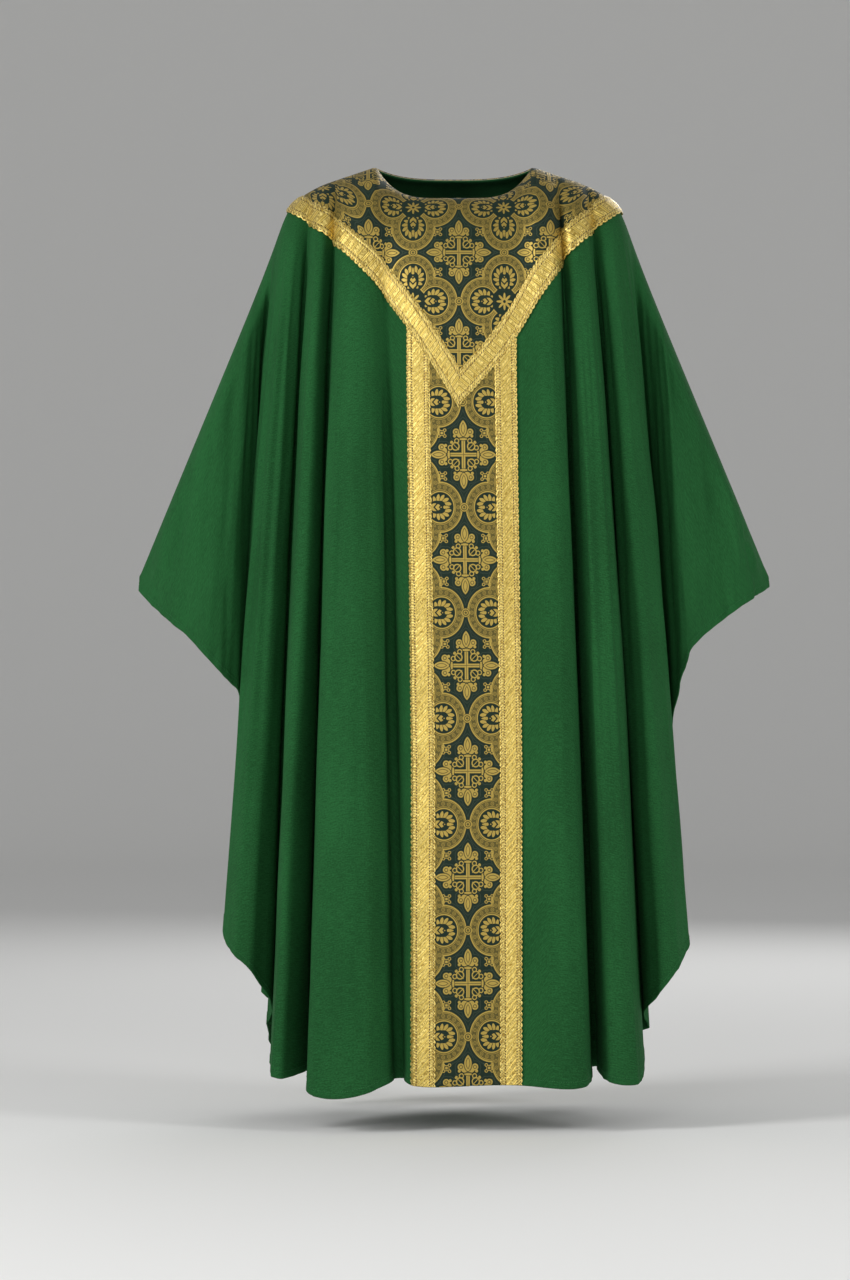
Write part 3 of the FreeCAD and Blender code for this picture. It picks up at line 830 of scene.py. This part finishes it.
def threads(name, face, begin, end):
    """One mesh with a stitch at each step along the hem of one panel."""
    s = np.linspace(begin, end, 12000)
    line = face.lines(s)
    t = 1.0 - HEM_STITCH / np.maximum(line[:, 2] - line[:, 5], 2.0 * HEM_STITCH)
    path = face.place(s, t, hem_height(face, s, t))
    run = np.concatenate([[0.0], np.cumsum(np.linalg.norm(np.diff(path, axis=0), axis=1))])
    starts = np.arange(0.004, run[-1] - 0.006, STITCH_PITCH)
    shares = np.array([0.0, 0.18, 0.5, 0.82, 1.0])
    at = np.interp(starts[:, None] + shares * STITCH_PITCH * 0.74, run, s)
    t = np.interp(at, s, t)
    out = face.normals(at, t)
    centre = face.place(at, t, hem_height(face, at, t)) + out * np.array(
        [-0.0003, 0.0001, 0.0003, 0.0001, -0.0003])[:, None]
    ahead = np.gradient(centre, axis=1)
    ahead /= np.linalg.norm(ahead, axis=-1, keepdims=True)
    side = np.cross(out, ahead)
    angle = np.arange(6) * math.pi / 3.0
    thick = STITCH_RADIUS * np.array([0.55, 1.0, 1.05, 1.0, 0.55])[:, None, None]
    ring = (side[:, :, None] * np.cos(angle)[:, None] + out[:, :, None] * np.sin(angle)[:, None])
    verts = centre[:, :, None] + ring * thick
    first = np.arange(len(starts))[:, None, None] * 30
    row, col = np.arange(4)[:, None] * 6, np.arange(6)
    walls = np.stack([row + col, row + (col + 1) % 6, row + 6 + (col + 1) % 6, row + 6 + col], -1)
    caps = np.array([[3, 2, 1, 0], [5, 4, 3, 0], [24, 25, 26, 27], [24, 27, 28, 29]])
    faces = np.concatenate([walls.reshape(-1, 4), caps])[None] + first
    flat = np.stack(np.broadcast_arrays(starts[:, None, None] + shares[:, None] * STITCH_PITCH,
                                        angle * STITCH_RADIUS), -1)
    piece = new_piece(name, verts.reshape(-1, 3), np.ascontiguousarray(faces.reshape(-1, 4)),
                      flat.reshape(-1, 2), None, sewing_thread)
    print(piece.name, len(starts), "stitches")
    return piece


for name, face in FACES.items():
    threads("%s_left_hem_stitches" % name, face, 0.01 * face.end, face.centre)
    threads("%s_right_hem_stitches" % name, face, face.centre, 0.99 * face.end)


# %% [markdown]
# ## The line of the V
# The V runs through a few points, from the tip out to the shoulder line. It is mitred at
# the tip, and it's offset to both sides to give the edges of the braid and of the yoke.

# %% The V of the yoke
def v_line(side, offset, count):
    """Points along the V, offset inward from the centre of its galloon."""
    points = np.array([TIP] + V_POINTS[side])
    ahead = np.roll(points, -1, axis=0) - np.roll(points, 1, axis=0)
    ahead[0], ahead[-1] = points[1] - points[0], points[-1] - points[-2]
    ahead /= np.linalg.norm(ahead, axis=1, keepdims=True)
    turn = -1.0 if side == "left" else 1.0
    normals = np.stack([-turn * ahead[:, 1], turn * ahead[:, 0]], -1)
    normals[0] = 0.0, 1.0 / abs(normals[0, 1])
    line = points + normals * offset
    knots = np.concatenate([[0.0], np.cumsum(np.linalg.norm(np.diff(line, axis=0), axis=1))])
    at = np.linspace(0.0, knots[-1], count)
    return spline_through(knots, line, at), at


def v_height(x, offset):
    """Height of the V at x, offset inward from the centre of its galloon."""
    left, right = (v_line(side, offset, 80)[0] for side in ("left", "right"))
    line = np.concatenate([left[::-1], right[1:]])
    return np.interp(x, line[:, 0], line[:, 1])


# %% [markdown]
# ## Yoke and column of brocade
# Each brocade piece lies on its interlining, and both follow the folds of the cloth below.
# The yoke fills the V from the shoulder line down, and the column runs from the V to the
# hem. The column leans a little to the left as it rises, as it hangs on a wearer. The
# pattern is placed on the cloth laid flat: across is measured from the centre of the piece,
# and down is the length along the cloth from the row where a cross has its centre.

# %% Yoke and column of brocade
# Heights at which a cross has its centre, and the cloth that each piece is cut from.
CROSS_ROW_YOKE = -0.1335
CROSS_ROW_COLUMN = -0.421
# Cloth that the column's brocade keeps back from the outer edges of the galloons.
BROCADE_INSET = 0.002
YOKE_EASE = (0.95, 1.05)


def yoke_places(face, edge):
    reach = SHOULDER_HALF - 0.5 * GALLOON_WIDTH
    x = np.linspace(-reach, reach, 181)
    s, t = face.find(x, np.full(x.shape, ABOVE_ALL))
    z_top = face.base(s, t)[..., 2]
    z_low = np.minimum(v_height(x, edge), z_top - 0.004)
    down = np.linspace(0.0, 1.0, 90)[None, :] ** 1.5
    z = z_top[:, None] + (z_low - z_top)[:, None] * down
    return face.find(np.repeat(x[:, None], 90, 1), z)


def lean(z):
    """How far the column stands to the left of its place at the hem."""
    return -COLUMN_LEAN * np.clip((z / BODY_LENGTH + 0.65) / 0.42, 0.0, 1.0)


def column_places(face, x_low, x_high, edge, cols, rows):
    x = np.linspace(x_low, x_high, cols)
    s, t = face.find(x, np.full(x.shape, BELOW_ALL))
    z_hem = face.base(s, t)[..., 2]
    z_top = v_height(x - COLUMN_LEAN, edge)
    down = np.linspace(0.0, 1.0, rows)[None, :]
    z = z_top[:, None] + (z_hem - z_top)[:, None] * down
    return face.find(x[:, None] + lean(z), z)


def pattern_flat(face, s, t, x_centre, z_row, ease=(1.0, 1.0)):
    """Brocade coordinates in metres, with a cross centred at (x_centre, z_row).

    Ease is how much the cloth is eased in above and below that row."""
    points = face.base(s, t)
    steps = np.linalg.norm(np.diff(points, axis=1), axis=-1)
    length = np.concatenate([np.zeros((len(points), 1)), np.cumsum(steps, axis=1)], axis=1)
    here = np.array([np.interp(-z_row, -row[:, 2], arc) for row, arc in zip(points, length)])
    down = here[:, None] - length
    down = down * np.where(down > 0.0, ease[0], ease[1])
    return np.stack([points[..., 0] - x_centre(points[..., 2]), down], -1)


def yoke_centre(z):
    """The yoke's pattern stays upright, over the tip of the V."""
    return TIP[0]


def column_centre(z):
    """The column's pattern leans as the column does."""
    return COLUMN_X + lean(z)


def ply_sheet(node, face, s, t, ply, flat, material):
    low, high = (face.place(s, t, np.full(s.shape, h)) for h in PLIES[ply])
    piece = closed_sheet(node, low, high, flat, node, material)
    sheet_area(high)
    return piece


for name, face in FACES.items():
    half = 0.5 * COLUMN_WIDTH - BROCADE_INSET
    for ply, edge, slot, material in (
            ("interlining", 0.002, "interlining", cotton), ("brocade", 0.0, "brocade", brocade)):
        s, t = yoke_places(face, edge + BUTT_GAP)
        flat = pattern_flat(face, s, t, yoke_centre, CROSS_ROW_YOKE, YOKE_EASE)
        ply_sheet("%s_yoke_%s" % (name, ply), face, s, t, ply, flat, material)
        s, t = column_places(face, COLUMN_X - half, COLUMN_X + half, -BUTT_GAP, 33, 240)
        flat = pattern_flat(face, s, t, column_centre, CROSS_ROW_COLUMN)
        ply_sheet("%s_column_%s" % (name, ply), face, s, t, ply, flat, material)


# %% [markdown]
# ## Galloon
# Galloon is a flat woven braid of metal thread. It has a slanting satin band down its
# middle, two raised cords near each edge and small loops, picots, that scallop both edges.
# The relief is real geometry, so it catches the light from the side as the braid does. The
# places on the hung sheet are found on a coarse grid and then refined by splines. Every
# line of the V ends on the shoulder line, where the front braid meets the back one.

# %% Galloon shape
PICOT = 0.0078
CORD_PITCH = 0.0039
GALLOON_STEP = 0.0009


def galloon_relief(across, along):
    """Height of the braid above its flat top; across runs from -1 to 1."""
    side = np.abs(across)
    cord = np.exp(-((side - 0.72) / 0.10) ** 2)
    beads = np.abs(np.sin(np.pi * along / CORD_PITCH + across * 2.0)) ** 0.6
    slant = np.sin(2.0 * np.pi * (along + across * 0.5 * GALLOON_WIDTH * 1.2) / 0.0095)
    band = smoothstep(0.52, 0.44, side) * (0.5 + 0.5 * np.tanh(2.5 * slant))
    edge = smoothstep(0.88, 1.0, side)
    return 0.0009 * cord * beads + 0.0004 * band - 0.0007 * edge


def galloon_piece(node, face, points, along):
    """points: coarse grid of (x, z), across by along; along: metres down the braid."""
    s, t = face.find(points[..., 0], points[..., 1])
    rows = int(along.max() / GALLOON_STEP)
    coarse = np.linspace(0.0, 1.0, points.shape[1])
    dense = np.linspace(0.0, 1.0, rows)
    s, t, along = (spline_through(coarse, grid.T, dense).T for grid in (s, t, along))
    t = np.clip(t, 0.0, 1.0)
    share = np.broadcast_to(np.linspace(-1.0, 1.0, len(s))[:, None], s.shape)
    low, high = (np.full(s.shape, h) for h in PLIES["galloon"])
    low = face.place(s, t, low + 0.0004 * smoothstep(0.9, 1.0, np.abs(share)))
    high = face.place(s, t, high + galloon_relief(share, along))
    outward = high[-1] - high[0]
    outward /= np.linalg.norm(outward, axis=-1, keepdims=True)
    loops = np.abs(np.sin(np.pi * along / PICOT)) ** 0.7 - 0.6
    push = (0.0026 * loops * np.sign(share) * smoothstep(0.82, 1.0, np.abs(share)))[..., None]
    flat = np.stack([share * 0.5 * GALLOON_WIDTH, along], -1)
    piece = closed_sheet(node, low + outward * push, high + outward * push, flat, node,
                         galloon, rim=0.3)
    middle = face.base(s, t)[len(s) // 2]
    return piece


GALLOON_COLUMNS = 29
for name, face in FACES.items():
    for side in ("left", "right"):
        half = 0.5 * GALLOON_WIDTH
        lines = [v_line(side, offset, 60)
                 for offset in np.linspace(-half, half, GALLOON_COLUMNS)]
        points = np.stack([line for line, _ in lines])
        points[:, 0, 0] += 0.5 * (BUTT_GAP if side == "right" else -BUTT_GAP)
        points[:, -1, 1] = ABOVE_ALL
        along = np.stack([at for _, at in lines])
        galloon_piece("%s_%s_yoke_galloon" % (name, side), face, points, along)
        outer, inner = 0.5 * COLUMN_WIDTH, 0.5 * COLUMN_WIDTH - GALLOON_WIDTH
        edges = (-outer, -inner) if side == "left" else (inner, outer)
        x = COLUMN_X + np.linspace(*edges, GALLOON_COLUMNS)
        s, t = face.find(x, np.full(x.shape, BELOW_ALL))
        z_hem = face.base(s, t)[..., 2]
        z_top = v_height(x - COLUMN_LEAN, -half - BUTT_GAP)
        down = np.linspace(0.0, 1.0, 90)[None, :]
        z = z_top[:, None] + (z_hem - z_top)[:, None] * down
        points = np.stack([x[:, None] + lean(z), z], -1)
        galloon_piece("%s_%s_column_galloon" % (name, side), face, points, -z - 0.2)


# %% [markdown]
# ## Inside the garment
# A facing finishes the neck edge on the inside, and a cotton tape under each shoulder seam
# takes the weight of the cloth. They show only through the neck and from below.

# %% Neck facings
for name, face in FACES.items():
    reach = NECK_HALF - 0.006
    x = np.linspace(-reach, reach, 61)
    s, t = face.find(x, np.full(x.shape, ABOVE_ALL))
    z_top = face.base(s, t)[..., 2]
    z = z_top[:, None] - FACING_WIDTH * np.linspace(0.0, 1.0, 25)[None, :]
    s, t = face.find(np.repeat(x[:, None], 25, 1), z)
    node = "%s_neck_facing" % name
    low, high = (face.place(s, t, np.full(s.shape, h)) for h in PLIES["facing"])
    piece = closed_sheet(node, high, low, flat_grid(low), node, lining)
    sheet_area(high)


# %% Tape under the shoulder seams
def beside_ridge(face, x, reach):
    """Points and normals at a distance from the shoulder line, down one face."""
    at = np.linspace(0.0, face.end, 4000)
    s = np.interp(x, face.lines(at)[:, 0], at)
    line = face.lines(s)
    swing = np.arcsin(np.minimum(0.9, reach / line[:, 3]))
    t = line[:, 7] * (2.0 / np.pi * swing) ** 2 / (line[:, 2] - line[:, 5])
    normals = face.normals(s, t)
    if reach == 0.0:
        normals[:, 1] = 0.0
        normals /= np.linalg.norm(normals, axis=1, keepdims=True)
    return face.base(s, t), normals


for side, turn in (("left", -1.0), ("right", 1.0)):
    x = turn * np.linspace(NECK_HALF + 0.012, SLEEVE_REACH - 0.030, 160)
    grids = []
    for name, shares in (("back", (1.0, 0.75, 0.5, 0.25, 0.0)), ("front", (0.25, 0.5, 0.75, 1.0))):
        grids += [beside_ridge(FACES[name], x, share * 0.008) for share in shares]
    points = np.stack([point for point, _ in grids])
    normals = np.stack([normal for _, normal in grids])
    low, high = (points + normals * h for h in PLIES["tape"])
    node = "%s_shoulder_seam_tape" % side
    run = np.concatenate([[0.0], np.cumsum(np.linalg.norm(np.diff(points[4], axis=0), axis=1))])
    flat = np.stack(np.broadcast_arrays(np.linspace(-0.008, 0.008, 9)[:, None], run), -1)
    piece = closed_sheet(node, high, low, flat, node, cotton)


# %% [markdown]
# ## Studio and camera
# The room is a pale floor that turns up into a round wall, so that it looks the same from
# every side. The sky is pale and even. The broad lamp is at the front left, a weaker one at
# the right, and a small one in front, so the beds of the folds go dark and the ridges stay
# bright. The last lamp stands behind and lights the back.

# %% Floor
def studio_paper():
    material = bpy.data.materials.new("studio_paper")
    material.use_nodes = True
    shader = material.node_tree.nodes["Principled BSDF"]
    shader.inputs["Base Color"].default_value = (0.86, 0.86, 0.85, 1.0)
    shader.inputs["Roughness"].default_value = 0.95
    shader.inputs["Specular IOR Level"].default_value = 0.1
    return material


def studio_floor():
    """A wide pale floor, 5 cm below the hem, that turns up into a round wall."""
    spokes, flat, turn, height = 128, 8.5, 3.0, 6.0
    profile = [(flat * share, 0.0) for share in np.linspace(0.05, 1.0, 12)]
    profile += [(flat + turn * math.sin(a), turn * (1.0 - math.cos(a)))
                for a in np.linspace(0.0, 0.5 * math.pi, 24)[1:]]
    profile.append((flat + turn, height))
    floor_z = cad_box[0][2] - 0.05
    angle = np.linspace(0.0, 2.0 * math.pi, spokes, endpoint=False)
    verts = [(0.0, 0.0, floor_z)]
    verts += [(r * math.cos(a), r * math.sin(a), z + floor_z) for r, z in profile for a in angle]
    rings = 1 + np.arange(len(profile) * spokes).reshape(len(profile), spokes)
    after = np.roll(rings, -1, axis=1)
    faces = [(0, int(i), int(j)) for i, j in zip(rings[0], after[0])]
    walls = np.stack([rings[:-1], rings[1:], after[1:], after[:-1]], -1)
    faces += [tuple(int(i) for i in quad) for quad in walls.reshape(-1, 4)]
    mesh = bpy.data.meshes.new("studio_floor")
    mesh.from_pydata(verts, [], faces)
    mesh.polygons.foreach_set("use_smooth", [True] * len(mesh.polygons))
    mesh.materials.append(studio_paper())
    floor = bpy.data.objects.new("studio_floor", mesh)
    bpy.context.scene.collection.objects.link(floor)


studio_floor()


# %% Lights and camera
def area_lamp(name, place, target, size, watts):
    lamp = bpy.data.lights.new(name, "AREA")
    lamp.shape = "RECTANGLE"
    lamp.size, lamp.size_y = size
    lamp.energy = watts
    item = bpy.data.objects.new(name, lamp)
    item.location = place
    item.rotation_euler = (Vector(target) - Vector(place)).to_track_quat("-Z", "Y").to_euler()
    bpy.context.scene.collection.objects.link(item)


area_lamp("left_lamp", (-3.3, -2.5, 1.1), (0.0, 0.0, -0.55), (1.2, 2.0), 104.0)
area_lamp("right_lamp", (3.4, -2.6, 0.5), (0.0, 0.0, -0.6), (1.2, 2.0), 62.0)
area_lamp("front_lamp", (-0.6, -4.6, 0.3), (0.0, 0.0, -0.6), (1.0, 1.4), 24.0)
area_lamp("back_lamp", (1.2, 4.2, 1.2), (0.0, 0.0, -0.5), (2.4, 1.8), 46.0)
world = bpy.data.worlds.new("soft_room")
world.use_nodes = True
world.node_tree.nodes["Background"].inputs["Color"].default_value = (1.0, 1.0, 1.0, 1.0)
world.node_tree.nodes["Background"].inputs["Strength"].default_value = 0.34
bpy.context.scene.world = world
bpy.context.scene.view_settings.view_transform = "Standard"

VIEW_DISTANCE = 7.5
VIEW_HEIGHT_SPAN = 1.829
VIEW_CENTRE = (-0.042, -0.683)
camera_data = bpy.data.cameras.new("camera")
camera_data.sensor_fit = "VERTICAL"
camera_data.sensor_height = 24.0
camera_data.lens = 24.0 * (VIEW_DISTANCE - 0.1) / VIEW_HEIGHT_SPAN
camera = bpy.data.objects.new("camera", camera_data)
camera.location = (VIEW_CENTRE[0], -VIEW_DISTANCE, VIEW_CENTRE[1])
camera.rotation_euler = (0.5 * math.pi, 0.0, 0.0)
bpy.context.scene.collection.objects.link(camera)
bpy.context.scene.camera = camera

# %% Print the CAD box again
print("CAD box", cad_box)
